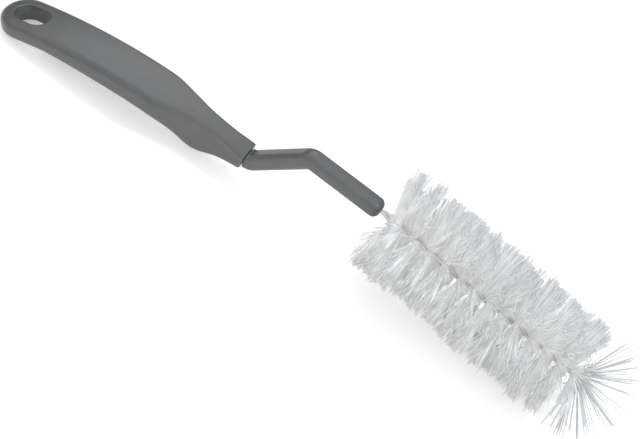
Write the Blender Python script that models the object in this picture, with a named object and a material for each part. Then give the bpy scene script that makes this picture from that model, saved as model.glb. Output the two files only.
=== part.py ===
"""Bottle brush: an arched plastic handle with a hanging hole, a cranked shank and a twisted-wire head.

Everything is modelled in metres along the brush: +X runs from the handle to the tip, +Z is the side that
the handle's upper face looks to, and X = 0 is the handle's end face, where the shank leaves it. An empty
then lays the brush down, so that the hang end and the last bristles touch Z = 0.
"""
import math
import random

import bmesh
import bpy
from mathutils import Matrix, Vector

MM = 0.001
FIT_GAP = 0.3 * MM  # between pieces that touch on the real brush
STRAND_SEED = 7

# Handle: distances run back from its end face, along its upper face
HANDLE_LENGTH = 169.0 * MM
HANDLE_ARCH_RADIUS = 371.0 * MM
NECK_NOSE_DOWN = math.radians(3.6)  # how far the upper face dips towards the shank at the neck
NECK_SQUARING_LENGTH = 24.0 * MM  # over which the cross sections turn square to the shank
NECK_WIDTH = 14.5 * MM
NECK_DEPTH = 12.6 * MM
THROAT_AT = 14.0 * MM
THROAT_WIDTH = 12.7 * MM
THROAT_DEPTH = 17.8 * MM
BELLY_AT = 30.0 * MM
BELLY_WIDTH = 14.8 * MM
BELLY_DEPTH = 24.0 * MM
SHOULDER_START_AT = 45.0 * MM
SHOULDER_START_WIDTH = 21.6 * MM
SHOULDER_START_DEPTH = 17.9 * MM
SHOULDER_AT = 61.0 * MM
SHOULDER_WIDTH = 28.7 * MM
SHOULDER_DEPTH = 13.7 * MM
GRIP_WIDTH = 29.5 * MM  # half way between the shoulder and the flat pad
GRIP_DEPTH = 12.5 * MM
HANG_WIDTH = 29.7 * MM
HANG_DEPTH = 10.9 * MM
HANG_PAD_LENGTH = 36.5 * MM  # of the hang end, whose underside is one flat
GRIP_TOP_EDGE_RADIUS = 3.6 * MM
THROAT_TOP_EDGE_RADIUS = 2.4 * MM
BOTTOM_EDGE_RADIUS = 4.0 * MM
UPPER_FACE_CROWN = 0.6 * MM
CROWN_QUARTER_SHARE = 0.75  # of the crown's height, half way to the edge
NECK_END_CHAMFER = 0.5 * MM
HANDLE_STATION_STEP = 4.0 * MM
HANDLE_EDGE_STEPS = 4
HANG_END_STEPS = 10

# Hanging hole, through the handle near its round end
HOLE_FROM_END = 19.2 * MM
HOLE_CLEAR_LENGTH = 21.6 * MM
HOLE_CLEAR_WIDTH = 14.3 * MM
HOLE_RIM_RADIUS = 1.2 * MM
HOLE_ARC_STEPS = 10
HOLE_RIM_STEPS = 4
HOLE_RIM_OVERRUN = 0.05 * MM  # how far the rims' curve runs past the handle's faces

# Shank: a rounded square bar with two elbows
SHANK_SIDE = 9.6 * MM
SHANK_EDGE_RADIUS = 3.2 * MM
SHANK_EDGE_STEPS = 4
SHANK_ROOT_SIDE = 10.9 * MM
SHANK_ROOT_LENGTH = 3.0 * MM
SHANK_PLUG_SIDE = 8.2 * MM
SHANK_PLUG_DEPTH = 24.0 * MM
SHANK_PLUG_CHAMFER = 0.8 * MM
SHADOW_GAP = 0.7 * MM  # between the handle's end face and the shank's root
SHANK_ROOT_STRAIGHT = 0.1 * MM  # before the first elbow's bend starts
CRANK_RUN = 27.9 * MM
CRANK_RISE = 31.1 * MM
SHANK_NOSE_LENGTH = 46.3 * MM  # from the second elbow to the nose
ELBOW_RADIUS = 5.6 * MM
ELBOW_STEPS = 5
SHANK_NOSE_ROUND = 3.9 * MM
SHANK_NOSE_STEPS = 4
NOSE_FLAT_MARGIN = 0.1 * MM  # kept flat on each side of the nose's corners

# Wire: one wire folded in half and twisted, its two ends held in the shank's bore
WIRE_DIAMETER = 1.7 * MM
WIRE_TURN_LENGTH = 19.4 * MM
WIRE_BARE_LENGTH = 7.0 * MM
WIRE_HELD_LENGTH = 18.0 * MM
WIRE_BARE_SPREAD = 1.0 * MM  # from the wire's axis to the middle of each leg, where no filament lies between
WIRE_DROOP = math.radians(4.3)
WIRE_POINTS_PER_TURN = 16
WIRE_FOLD_POINTS = 5
WIRE_TUBE_RESOLUTION = 1
BORE_SIDES = 20

# Bristles: filaments pinched between the wire's legs, grouped by half turn
BAND_COUNT = 13
BRISTLE_RADIUS = 31.0 * MM
BRISTLE_LENGTH_JITTER = 1.2 * MM
RIBBON_THICKNESS = 0.5 * MM
RIBBON_HALF_WIDTH = 2.1 * MM
STRANDS_PER_SIDE = 17
STRAND_SPREAD = 2.2  # of its thickness at the tip, as the small bundle it stands for opens out
STRAND_AROUND_JITTER = math.radians(2.5)
STRAND_ALONG_JITTER = math.radians(5.0)
FIRST_BAND_LEAN = math.radians(-9.0)  # back towards the handle
LAST_BAND_LEAN = math.radians(3.0)  # towards the tip
LEAN_FADE_POWER = 3  # how fast the lean fades from either end of the head
FLOOR_FLAT_DEPTH = 0.5 * MM  # taken off the bristles that the brush lies on

# Tip tuft: filaments saddled over the wire's fold, fanned forwards
TUFT_HUB_RADIUS = 2.6 * MM
TUFT_REACH = 34.0 * MM
TUFT_REACH_JITTER = 1.5 * MM
TUFT_COLUMNS = 20
TUFT_COLUMN_STEPS = (2, 2, 2, 4, 4)  # between strands, for each ring from the back to the front

# Finishes
GREY_PLASTIC = (0.155, 0.158, 0.162, 1.0)
GREY_PLASTIC_ROUGHNESS = 0.38
GREY_PLASTIC_METALLIC = 0.25
COATED_WIRE = (0.62, 0.62, 0.57, 1.0)
COATED_WIRE_ROUGHNESS = 0.4
WHITE_NYLON = (0.80, 0.81, 0.80, 1.0)
WHITE_NYLON_ROUGHNESS = 0.45


def clear_scene():
    for item in list(bpy.data.objects):
        bpy.data.objects.remove(item, do_unlink=True)


def make_material(name, colour, roughness, metallic=0.0):
    material = bpy.data.materials.new(name)
    material.use_nodes = True
    shader = material.node_tree.nodes["Principled BSDF"]
    shader.inputs["Base Color"].default_value = colour
    shader.inputs["Roughness"].default_value = roughness
    shader.inputs["Metallic"].default_value = metallic
    return material


def object_from(mesh_builder, name, material, parent, smooth_angle=math.radians(40)):
    """A named mesh object made from a bmesh, shaded smooth except at its sharp edges."""
    bmesh.ops.recalc_face_normals(mesh_builder, faces=mesh_builder.faces)
    mesh = bpy.data.meshes.new(name)
    mesh_builder.to_mesh(mesh)
    mesh_builder.free()
    mesh.shade_smooth()
    mesh.set_sharp_from_angle(angle=smooth_angle)
    item = bpy.data.objects.new(name, mesh)
    item.data.materials.append(material)
    item.parent = parent
    bpy.context.scene.collection.objects.link(item)
    return item


def subtract(target, cutter):
    cutter.hide_render = True
    cutter.display_type = "WIRE"
    cut = target.modifiers.new("cut_" + cutter.name, "BOOLEAN")
    cut.operation = "DIFFERENCE"
    cut.solver = "EXACT"
    cut.object = cutter


def smooth_curve(stations):
    """A function through (place, value) stations that never overshoots between them."""
    places = [place for place, _ in stations]
    values = [value for _, value in stations]
    last = len(places) - 1
    spans = [places[i + 1] - places[i] for i in range(last)]
    rises = [(values[i + 1] - values[i]) / spans[i] for i in range(last)]
    slopes = [rises[0]]
    for i in range(1, last):
        if rises[i - 1] * rises[i] <= 0:
            slopes.append(0.0)
        else:
            slopes.append(2 * rises[i - 1] * rises[i] / (rises[i - 1] + rises[i]))
    slopes.append(rises[-1])

    def value_at(place):
        i = 0
        while i < last - 1 and place > places[i + 1]:
            i += 1
        t = min(max((place - places[i]) / spans[i], 0.0), 1.0)
        return (
            (1 + 2 * t) * (1 - t) ** 2 * values[i]
            + t * (1 - t) ** 2 * spans[i] * slopes[i]
            + t * t * (3 - 2 * t) * values[i + 1]
            + t * t * (t - 1) * spans[i] * slopes[i + 1]
        )

    return value_at


def ease(share):
    """From 0 to 1 with level ends."""
    return share * share * (3 - 2 * share)


def bridge_rings(builder, rings, close_start=True, close_end=True):
    """Faces between rings of points, one after another, with the ends closed by a face each."""
    loops = [[builder.verts.new(point) for point in ring] for ring in rings]
    for first, second in zip(loops, loops[1:]):
        count = len(first)
        for i in range(count):
            j = (i + 1) % count
            builder.faces.new((first[i], first[j], second[j], second[i]))
    if close_start:
        builder.faces.new(loops[0])
    if close_end:
        builder.faces.new(loops[-1])
    return loops


def rounded_square(side, radius):
    """Points (across, up) of a square with round corners."""
    inner = side / 2 - radius
    corners = ((inner, inner, 0), (-inner, inner, 90), (-inner, -inner, 180), (inner, -inner, 270))
    points = []
    for across, up, start in corners:
        for i in range(SHANK_EDGE_STEPS + 1):
            angle = math.radians(start + 90 * i / SHANK_EDGE_STEPS)
            points.append((across + radius * math.cos(angle), up + radius * math.sin(angle)))
    return points


# Handle

def arch_slope(back):
    return back / HANDLE_ARCH_RADIUS - NECK_NOSE_DOWN


def arch_point(back):
    """The middle of the upper face, a distance back from the end face."""
    x = -HANDLE_ARCH_RADIUS * (math.sin(arch_slope(back)) - math.sin(arch_slope(0)))
    z = HANDLE_ARCH_RADIUS * (math.cos(arch_slope(back)) - math.cos(arch_slope(0)))
    return Vector((x, 0, NECK_DEPTH / 2 + z))


def arch_up(back):
    """The direction of the cross section's height there, square to the shank at the neck."""
    slope = arch_slope(back) * ease(min(back / NECK_SQUARING_LENGTH, 1.0))
    return Vector((-math.sin(slope), 0, math.cos(slope)))


def hole_back():
    return HANDLE_LENGTH - HOLE_FROM_END


def pad_start():
    return HANDLE_LENGTH - HANG_PAD_LENGTH


def grip_back():
    return (SHOULDER_AT + pad_start()) / 2


def pad_depth(back):
    """Depth that brings the underside to the flat below the hanging hole."""
    flat_up = arch_up(hole_back())
    flat_point = arch_point(hole_back()) - flat_up * HANG_DEPTH
    return (arch_point(back) - flat_point).dot(flat_up) / arch_up(back).dot(flat_up)


handle_half_width = smooth_curve((
    (0.0, NECK_WIDTH / 2),
    (THROAT_AT, THROAT_WIDTH / 2),
    (BELLY_AT, BELLY_WIDTH / 2),
    (SHOULDER_START_AT, SHOULDER_START_WIDTH / 2),
    (SHOULDER_AT, SHOULDER_WIDTH / 2),
    (grip_back(), GRIP_WIDTH / 2),
    (HANDLE_LENGTH - HANG_WIDTH / 2, HANG_WIDTH / 2),
))
handle_front_depth = smooth_curve((
    (0.0, NECK_DEPTH),
    (THROAT_AT, THROAT_DEPTH),
    (BELLY_AT, BELLY_DEPTH),
    (SHOULDER_START_AT, SHOULDER_START_DEPTH),
    (SHOULDER_AT, SHOULDER_DEPTH),
    (grip_back(), GRIP_DEPTH),
    (pad_start(), pad_depth(pad_start())),
))
top_edge_radius = smooth_curve((
    (0.0, THROAT_TOP_EDGE_RADIUS),
    (BELLY_AT, THROAT_TOP_EDGE_RADIUS),
    (SHOULDER_AT, GRIP_TOP_EDGE_RADIUS),
))


def handle_depth(back):
    return pad_depth(back) if back >= pad_start() else handle_front_depth(back)


def half_width_inside(back, inset):
    """Half the width there of the handle's plan outline, moved inwards by an inset."""
    round_radius = HANG_WIDTH / 2
    from_centre = back - (HANDLE_LENGTH - round_radius)
    if from_centre <= 0:
        return handle_half_width(back) - inset
    return math.sqrt(max((round_radius - inset) ** 2 - from_centre ** 2, 0.0))


def edge_quarter(back, radius):
    """(half width, drop below the face) from the side of the section to the edge of its flat."""
    reach = min(max(HANDLE_LENGTH - back, 0.0), radius)
    most = math.acos(1 - reach / radius)
    points = []
    for i in range(HANDLE_EDGE_STEPS + 1):
        angle = most * i / HANDLE_EDGE_STEPS
        inset = radius * (1 - math.cos(angle))
        points.append((half_width_inside(back, inset), radius * (1 - math.sin(angle))))
    return points


def handle_section(back, shrink=0.0):
    """One closed cross section of the handle, as points in space."""
    top_radius = top_edge_radius(back)
    depth = handle_depth(back)
    top = [(width - shrink, drop + shrink) for width, drop in edge_quarter(back, top_radius)]
    lower_edge = edge_quarter(back, BOTTOM_EDGE_RADIUS)
    bottom = [(width - shrink, depth - drop - shrink) for width, drop in lower_edge]
    flat_half = top[-1][0]
    crown = UPPER_FACE_CROWN * flat_half / (GRIP_WIDTH / 2)
    half = bottom[::-1] + top
    quarter = top[-1][1] - crown * CROWN_QUARTER_SHARE
    outline = half + [(flat_half / 2, quarter), (0.0, top[-1][1] - crown), (-flat_half / 2, quarter)]
    outline += [(-width, drop) for width, drop in half[::-1]]
    outline.append((0.0, bottom[-1][1]))
    up = arch_up(back)
    origin = arch_point(back)
    return [origin + Vector((0, width, 0)) - up * drop for width, drop in outline]


def handle_stations():
    """Distances back from the end face, closer together round the hang end, with one where the pad starts."""
    round_radius = HANG_WIDTH / 2
    straight = HANDLE_LENGTH - round_radius
    stations = [0.0]
    for end in (pad_start(), straight):
        start = stations[-1]
        count = round((end - start) / HANDLE_STATION_STEP)
        stations += [start + (end - start) * i / count for i in range(1, count + 1)]
    for i in range(1, HANG_END_STEPS + 1):
        stations.append(straight + round_radius * math.sin(math.radians(90 * i / HANG_END_STEPS)))
    return stations


def hole_cutter(material, parent):
    """A slot-shaped spool whose flared ends leave round rims."""
    up = arch_up(hole_back())
    along = Vector((up.z, 0, -up.x))
    top = arch_point(hole_back())
    end_radius = HOLE_CLEAR_WIDTH / 2
    half_straight = (HOLE_CLEAR_LENGTH - HOLE_CLEAR_WIDTH) / 2
    flare = []
    for i in range(HOLE_RIM_STEPS + 1):
        angle = math.radians(90 * i / HOLE_RIM_STEPS)
        drop = HOLE_RIM_RADIUS * (1 - math.cos(angle)) - HOLE_RIM_OVERRUN
        flare.append((drop, HOLE_RIM_RADIUS * (1 - math.sin(angle))))
    levels = [(-HOLE_RIM_RADIUS, 2 * HOLE_RIM_RADIUS)] + flare
    levels += [(HANG_DEPTH - drop, out) for drop, out in flare[::-1]]
    levels += [(HANG_DEPTH + HOLE_RIM_RADIUS, 2 * HOLE_RIM_RADIUS)]
    rings = []
    for drop, out in levels:
        ring = []
        for side in (1, -1):
            for i in range(HOLE_ARC_STEPS + 1):
                angle = math.radians(-90 + 180 * i / HOLE_ARC_STEPS)
                reach = side * (half_straight + (end_radius + out) * math.cos(angle))
                across = side * (end_radius + out) * math.sin(angle)
                ring.append(top + along * reach + Vector((0, across, 0)) - up * drop)
        rings.append(ring)
    builder = bmesh.new()
    bridge_rings(builder, rings)
    return object_from(builder, "hole_cutter", material, parent)


def socket_cutter(material, parent):
    """The room for the shank's plug, open at the handle's end face."""
    outline = rounded_square(SHANK_PLUG_SIDE + 2 * FIT_GAP, plug_edge_radius() + FIT_GAP)
    rings = []
    for x in (SHADOW_GAP, -SHANK_PLUG_DEPTH - FIT_GAP):
        rings.append([Vector((x, across, up)) for across, up in outline])
    builder = bmesh.new()
    bridge_rings(builder, rings)
    return object_from(builder, "socket_cutter", material, parent)


def build_handle(material, parent):
    stations = handle_stations()
    rings = [handle_section(0.0, NECK_END_CHAMFER), handle_section(NECK_END_CHAMFER)]
    rings += [handle_section(back) for back in stations[1:]]
    builder = bmesh.new()
    bridge_rings(builder, rings, close_end=False)
    bmesh.ops.remove_doubles(builder, verts=builder.verts, dist=0.001 * MM)
    handle = object_from(builder, "handle", material, parent)
    subtract(handle, hole_cutter(material, parent))
    subtract(handle, socket_cutter(material, parent))
    return handle


# Shank

def plug_edge_radius():
    return SHANK_EDGE_RADIUS * SHANK_PLUG_SIDE / SHANK_SIDE


def crank_angle():
    return math.atan2(CRANK_RISE, CRANK_RUN)


def elbow_tangent():
    """From an elbow's corner to where its bend starts."""
    return ELBOW_RADIUS * math.tan(crank_angle() / 2)


def first_elbow():
    return Vector((SHADOW_GAP + SHANK_ROOT_STRAIGHT + elbow_tangent(), 0, 0))


def second_elbow():
    return first_elbow() + Vector((CRANK_RUN, 0, CRANK_RISE))


def nose_end():
    return second_elbow() + Vector((SHANK_NOSE_LENGTH, 0, 0))


def elbow_stations(corner, entry, leave):
    """(point, direction angle) round an elbow, from one straight run to the next."""
    turn = leave - entry
    start = corner - Vector((math.cos(entry), 0, math.sin(entry))) * elbow_tangent()
    side = 1 if turn > 0 else -1
    centre = start + Vector((-math.sin(entry), 0, math.cos(entry))) * ELBOW_RADIUS * side
    found = []
    for i in range(ELBOW_STEPS + 1):
        angle = entry + turn * i / ELBOW_STEPS
        arm = Vector((math.sin(angle), 0, -math.cos(angle))) * ELBOW_RADIUS * side
        found.append((centre + arm, angle))
    return found


def shank_ring(point, angle, side, radius):
    up = Vector((-math.sin(angle), 0, math.cos(angle)))
    return [point + Vector((0, across, 0)) + up * height for across, height in rounded_square(side, radius)]


def bore_cutter(material, parent):
    """The blind hole in the shank's nose that holds the wire's ends."""
    radius = WIRE_BARE_SPREAD + WIRE_DIAMETER / 2 + FIT_GAP
    depth = WIRE_HELD_LENGTH + FIT_GAP
    bpy.ops.mesh.primitive_cylinder_add(vertices=BORE_SIDES, radius=radius, depth=2 * depth)
    cutter = bpy.context.active_object
    cutter.name = "bore_cutter"
    cutter.data.materials.append(material)
    cutter.parent = parent
    cutter.rotation_euler = (0, math.radians(90), 0)
    cutter.location = nose_end()
    return cutter


def build_shank(material, parent):
    root_radius = SHANK_EDGE_RADIUS * SHANK_ROOT_SIDE / SHANK_SIDE
    rings = []
    plug_end = -SHANK_PLUG_DEPTH
    for x, cut in ((plug_end, SHANK_PLUG_CHAMFER), (plug_end + SHANK_PLUG_CHAMFER, 0.0), (SHADOW_GAP, 0.0)):
        side = SHANK_PLUG_SIDE - 2 * cut
        rings.append(shank_ring(Vector((x, 0, 0)), 0.0, side, plug_edge_radius() - cut))
    bends = elbow_stations(first_elbow(), 0.0, crank_angle())
    bends += elbow_stations(second_elbow(), crank_angle(), 0.0)
    rings.append(shank_ring(Vector((SHADOW_GAP, 0, 0)), 0.0, SHANK_ROOT_SIDE, root_radius))
    travelled = 0.0
    before = Vector((SHADOW_GAP, 0, 0))
    for point, angle in bends:
        travelled += (point - before).length
        before = point
        share = min(travelled / (SHANK_ROOT_LENGTH + ELBOW_RADIUS), 1.0)
        side = SHANK_ROOT_SIDE + (SHANK_SIDE - SHANK_ROOT_SIDE) * share
        radius = root_radius + (SHANK_EDGE_RADIUS - root_radius) * share
        rings.append(shank_ring(point, angle, side, radius))
    for i in range(SHANK_NOSE_STEPS + 1):
        angle = math.radians(90 * i / SHANK_NOSE_STEPS)
        back = SHANK_NOSE_ROUND * (1 - math.sin(angle))
        cut = SHANK_NOSE_ROUND * (1 - math.cos(angle))
        side = SHANK_SIDE - 2 * cut
        radius = min(SHANK_EDGE_RADIUS, side / 2 - NOSE_FLAT_MARGIN)
        rings.append(shank_ring(nose_end() - Vector((back, 0, 0)), 0.0, side, radius))
    builder = bmesh.new()
    bridge_rings(builder, rings)
    shank = object_from(builder, "shank", material, parent)
    subtract(shank, bore_cutter(material, parent))
    return shank


# Wire and bristles

def leg_spread():
    """From the wire's axis to the middle of each leg, where filaments lie between them."""
    return WIRE_DIAMETER / 2 + FIT_GAP + RIBBON_THICKNESS / 2


def head_length():
    return BAND_COUNT * WIRE_TURN_LENGTH / 2


def head_frame(along):
    """(point, forward, up) on the wire's axis, a distance along it from the shank's nose."""
    bend_radius = WIRE_BARE_LENGTH / WIRE_DROOP
    bent = min(max(along, 0.0), WIRE_BARE_LENGTH)
    angle = bent / bend_radius
    x = bend_radius * math.sin(angle)
    z = -bend_radius * (1 - math.cos(angle))
    forward = Vector((math.cos(angle), 0, -math.sin(angle)))
    up = Vector((math.sin(angle), 0, math.cos(angle)))
    return nose_end() + Vector((x, 0, z)) + forward * (along - bent), forward, up


def around(along, angle):
    """A unit vector square to the wire's axis, at an angle round it."""
    _, _, up = head_frame(along)
    return Vector((0, 1, 0)) * math.cos(angle) + up * math.sin(angle)


def twist_at(along):
    return 2 * math.pi * (along - WIRE_BARE_LENGTH) / WIRE_TURN_LENGTH


def fold_at():
    """Where along the axis the two legs turn into the fold."""
    return WIRE_BARE_LENGTH + head_length() + FIT_GAP


def leg_point(along, leg):
    share = min(max(along / WIRE_BARE_LENGTH, 0.0), 1.0)
    spread = WIRE_BARE_SPREAD + (leg_spread() - WIRE_BARE_SPREAD) * share
    point, _, _ = head_frame(along)
    return point + around(along, twist_at(along) + math.radians(90)) * spread * leg


def build_wire(material, parent):
    total = WIRE_HELD_LENGTH + fold_at()
    count = math.ceil(total / WIRE_TURN_LENGTH * WIRE_POINTS_PER_TURN)
    places = [-WIRE_HELD_LENGTH + total * i / count for i in range(count + 1)]
    points = [leg_point(along, 1) for along in places]
    centre, forward, _ = head_frame(fold_at())
    sideways = around(fold_at(), twist_at(fold_at()) + math.radians(90))
    for i in range(1, WIRE_FOLD_POINTS + 1):
        angle = math.pi * i / (WIRE_FOLD_POINTS + 1)
        points.append(centre + (sideways * math.cos(angle) + forward * math.sin(angle)) * leg_spread())
    points += [leg_point(along, -1) for along in places[::-1]]
    curve = bpy.data.curves.new("wire_core", "CURVE")
    curve.dimensions = "3D"
    curve.bevel_depth = WIRE_DIAMETER / 2
    curve.bevel_resolution = WIRE_TUBE_RESOLUTION
    curve.use_fill_caps = True
    spline = curve.splines.new("POLY")
    spline.points.add(len(points) - 1)
    for place, point in zip(spline.points, points):
        place.co = (*point, 1.0)
    curve.materials.append(material)
    wire = bpy.data.objects.new("wire_core", curve)
    wire.parent = parent
    bpy.context.scene.collection.objects.link(wire)
    return wire


def floor_plane():
    """(heel, normal, pitch) of the surface that the hang end's heel and the last bristles lie on."""
    centre, _, _ = head_frame(WIRE_BARE_LENGTH + head_length() - WIRE_TURN_LENGTH / 4)

    def pitch_over(point):
        reach = centre - point
        return math.atan2(reach.z, reach.x) - math.asin((BRISTLE_RADIUS - FLOOR_FLAT_DEPTH) / reach.length)

    hang_end = [point for back in handle_stations() if back > pad_start() for point in handle_section(back)]
    heel = max(hang_end, key=pitch_over)
    pitch = pitch_over(heel)
    return heel, Vector((-math.sin(pitch), 0, math.cos(pitch))), pitch


def trimmed(root, tip, heel, normal):
    """The strand's end point, brought back along the strand to the floor where it would pass it."""
    below = (heel - tip).dot(normal)
    if below <= 0:
        return tip
    fall = (root - tip).dot(normal)
    return tip + (root - tip) * (below / fall)


def extend_strand(builder, face, tip_centre, spread, heel, normal):
    """Pulls one face out into a strand, its end cut flat where it meets the floor."""
    root_centre = face.calc_center_median()
    corners = [vertex.co.copy() for vertex in face.verts]
    made = bmesh.ops.extrude_discrete_faces(builder, faces=[face])
    end = made["faces"][0]
    for vertex, corner in zip(end.verts, corners):
        tip = tip_centre + (corner - root_centre) * spread
        vertex.co = trimmed(corner, tip, heel, normal)


def face_between(loops, i, j, k):
    """The face that spans from ring i to the next, between their vertices j and k."""
    corners = {loops[i][j], loops[i][k], loops[i + 1][j], loops[i + 1][k]}
    return next(face for face in loops[i][j].link_faces if set(face.verts) == corners)


def add_ribbon(builder, places):
    """The slab of filaments between the wire's legs, twisted with them."""
    rings = []
    for along in places:
        point, _, _ = head_frame(along)
        out = around(along, twist_at(along))
        thick = around(along, twist_at(along) + math.radians(90))
        half_width, half_thick = out * RIBBON_HALF_WIDTH, thick * RIBBON_THICKNESS / 2
        rings.append([point + half_width - half_thick, point + half_width + half_thick,
                      point - half_width + half_thick, point - half_width - half_thick])
    return bridge_rings(builder, rings)


def lean_of_band(index):
    share = index / (BAND_COUNT - 1)
    return FIRST_BAND_LEAN * (1 - share) ** LEAN_FADE_POWER + LAST_BAND_LEAN * share ** LEAN_FADE_POWER


def build_band(index, material, parent, chance, floor):
    """The filaments of one half turn: a ribbon between the legs, with strands out of both its edges."""
    heel, normal, _ = floor
    start = WIRE_BARE_LENGTH + index * WIRE_TURN_LENGTH / 2 + FIT_GAP / 2
    length = WIRE_TURN_LENGTH / 2 - FIT_GAP
    cells = 2 * STRANDS_PER_SIDE + 1
    places = [start + length * i / cells for i in range(cells + 1)]
    builder = bmesh.new()
    loops = add_ribbon(builder, places)
    builder.normal_update()
    roots = []
    for i in range(1, cells, 2):
        for side, j, k in ((1, 0, 1), (-1, 2, 3)):
            roots.append(((places[i] + places[i + 1]) / 2, side, face_between(loops, i, j, k)))
    band_lean = lean_of_band(index)
    for along, side, face in roots:
        point, forward, _ = head_frame(along)
        angle = twist_at(along) + chance.uniform(-STRAND_AROUND_JITTER, STRAND_AROUND_JITTER)
        lean = band_lean + chance.uniform(-STRAND_ALONG_JITTER, STRAND_ALONG_JITTER)
        reach = BRISTLE_RADIUS + chance.uniform(-BRISTLE_LENGTH_JITTER, 0)
        direction = around(along, angle) * side * math.cos(lean) + forward * math.sin(lean)
        extend_strand(builder, face, point + direction * reach, STRAND_SPREAD, heel, normal)
    return object_from(builder, f"bristle_band_{index + 1:02d}", material, parent)


def build_tip_tuft(material, parent, chance, floor):
    """A small dome in front of the wire's fold, with strands fanned over the half sphere ahead of it."""
    heel, normal, _ = floor
    back_at = fold_at() + leg_spread() + WIRE_DIAMETER / 2 + FIT_GAP
    centre, forward, up = head_frame(back_at)
    side = Vector((0, 1, 0))

    def dome_point(polar, turn, radius):
        across = side * math.cos(turn) + up * math.sin(turn)
        return centre + (forward * math.cos(polar) + across * math.sin(polar)) * radius

    rings = []
    ring_count = len(TUFT_COLUMN_STEPS)
    ring_angle = math.radians(90) / (ring_count + 1 / 2)  # the last ring closes half a step from the pole
    polars = [math.radians(90) - ring_angle * i for i in range(ring_count + 1)]
    turns = [2 * math.pi * j / TUFT_COLUMNS for j in range(TUFT_COLUMNS)]
    for polar in polars:
        rings.append([dome_point(polar, turn, TUFT_HUB_RADIUS) for turn in turns])
    builder = bmesh.new()
    loops = bridge_rings(builder, rings)
    builder.normal_update()
    roots = []
    for i, step in enumerate(TUFT_COLUMN_STEPS):
        for j in range(i % 2, TUFT_COLUMNS, step):
            face = face_between(loops, i, j, (j + 1) % TUFT_COLUMNS)
            roots.append((polars[i] - ring_angle / 2, turns[j] + math.pi / TUFT_COLUMNS, face))
    for polar, turn, face in roots:
        reach = TUFT_REACH + chance.uniform(-TUFT_REACH_JITTER, 0)
        polar += chance.uniform(-STRAND_AROUND_JITTER, STRAND_AROUND_JITTER)
        turn += chance.uniform(-STRAND_AROUND_JITTER, STRAND_AROUND_JITTER)
        extend_strand(builder, face, dome_point(polar, turn, reach), STRAND_SPREAD, heel, normal)
    return object_from(builder, "tip_tuft", material, parent)


def lay_down(parent, pitch, items):
    """Turns and lifts the brush onto Z = 0, centred over the origin."""
    turn = Matrix.Rotation(pitch, 4, "Y")
    corners = []
    bpy.context.view_layer.update()
    graph = bpy.context.evaluated_depsgraph_get()
    for item in items:
        mesh = item.evaluated_get(graph).to_mesh()
        corners += [turn @ vertex.co for vertex in mesh.vertices]
        item.evaluated_get(graph).to_mesh_clear()
    low = [min(corner[i] for corner in corners) for i in range(3)]
    high = [max(corner[i] for corner in corners) for i in range(3)]
    parent.rotation_euler = (0, pitch, 0)
    parent.location = (-(low[0] + high[0]) / 2, -(low[1] + high[1]) / 2, -low[2])


def main():
    clear_scene()
    chance = random.Random(STRAND_SEED)
    plastic = make_material("grey_plastic", GREY_PLASTIC, GREY_PLASTIC_ROUGHNESS, GREY_PLASTIC_METALLIC)
    coated = make_material("coated_wire", COATED_WIRE, COATED_WIRE_ROUGHNESS)
    nylon = make_material("white_nylon", WHITE_NYLON, WHITE_NYLON_ROUGHNESS)
    brush = bpy.data.objects.new("brush", None)
    bpy.context.scene.collection.objects.link(brush)
    floor = floor_plane()
    items = [build_handle(plastic, brush), build_shank(plastic, brush), build_wire(coated, brush)]
    for index in range(BAND_COUNT):
        items.append(build_band(index, nylon, brush, chance, floor))
    items.append(build_tip_tuft(nylon, brush, chance, floor))
    _, _, pitch = floor
    lay_down(brush, pitch, items)


main()
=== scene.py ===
# %% [markdown]
# # A bottle brush with a cranked shank
#
# The real brush is four kinds of piece: a moulded grip with a hanging hole, a bent square shank that is
# pressed into its neck, one wire folded in half and twisted, and the nylon filaments that the twist pinches.
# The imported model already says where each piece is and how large. This file gives every piece its smooth
# form and its finish, and never moves or resizes what was packed.

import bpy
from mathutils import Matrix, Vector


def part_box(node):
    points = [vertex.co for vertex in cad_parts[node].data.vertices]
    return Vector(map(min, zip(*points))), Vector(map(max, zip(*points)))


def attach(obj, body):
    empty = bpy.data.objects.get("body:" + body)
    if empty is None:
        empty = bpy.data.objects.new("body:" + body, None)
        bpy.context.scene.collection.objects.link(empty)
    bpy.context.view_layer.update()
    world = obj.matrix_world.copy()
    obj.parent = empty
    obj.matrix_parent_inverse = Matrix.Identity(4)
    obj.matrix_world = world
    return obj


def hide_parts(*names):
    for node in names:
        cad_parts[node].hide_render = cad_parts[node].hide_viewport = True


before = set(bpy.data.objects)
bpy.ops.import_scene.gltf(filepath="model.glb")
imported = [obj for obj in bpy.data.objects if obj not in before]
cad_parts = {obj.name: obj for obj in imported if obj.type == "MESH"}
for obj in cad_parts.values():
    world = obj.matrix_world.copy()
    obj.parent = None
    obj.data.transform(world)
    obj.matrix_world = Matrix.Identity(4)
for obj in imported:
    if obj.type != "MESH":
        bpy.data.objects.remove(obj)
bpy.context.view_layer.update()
print("packed pieces:", ", ".join(sorted(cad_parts)))

# %% [markdown]
# ## Units and helpers
#
# All sizes are real ones in metres, written as so many millimetres. The brush is modelled along its own
# axis, with X = 0 at the handle's end face, +X towards the tip and +Z on the side of the upper face. It is
# then laid down by one matrix, so that the sums stay simple. Blender's operators act on whatever is
# selected, so each one comes after a call that deselects everything first.

# %% Imports and units
import math

import bmesh
import bpy
import numpy as np
from mathutils import Matrix, Vector

MM = 0.001
TOUCH = 0.01 * MM  # points that are closer than this are one
BRUSH_PITCH = math.radians(3.2917)  # of the brush as it lies on its hang end and its last bristles
BRUSH_PLACE = Vector((-40.42, -0.18, 20.58)) * MM
LAY = Matrix.Translation(BRUSH_PLACE) @ Matrix.Rotation(BRUSH_PITCH, 4, "Y")
MOULDING_EDGE = math.radians(35)  # a sharper turn than this stays an edge on the mouldings
THREAD_EDGE = math.radians(60)  # and on the wire and the filaments
print(f"the brush is tipped by {math.degrees(BRUSH_PITCH):.2f} degrees where it lies")


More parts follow.
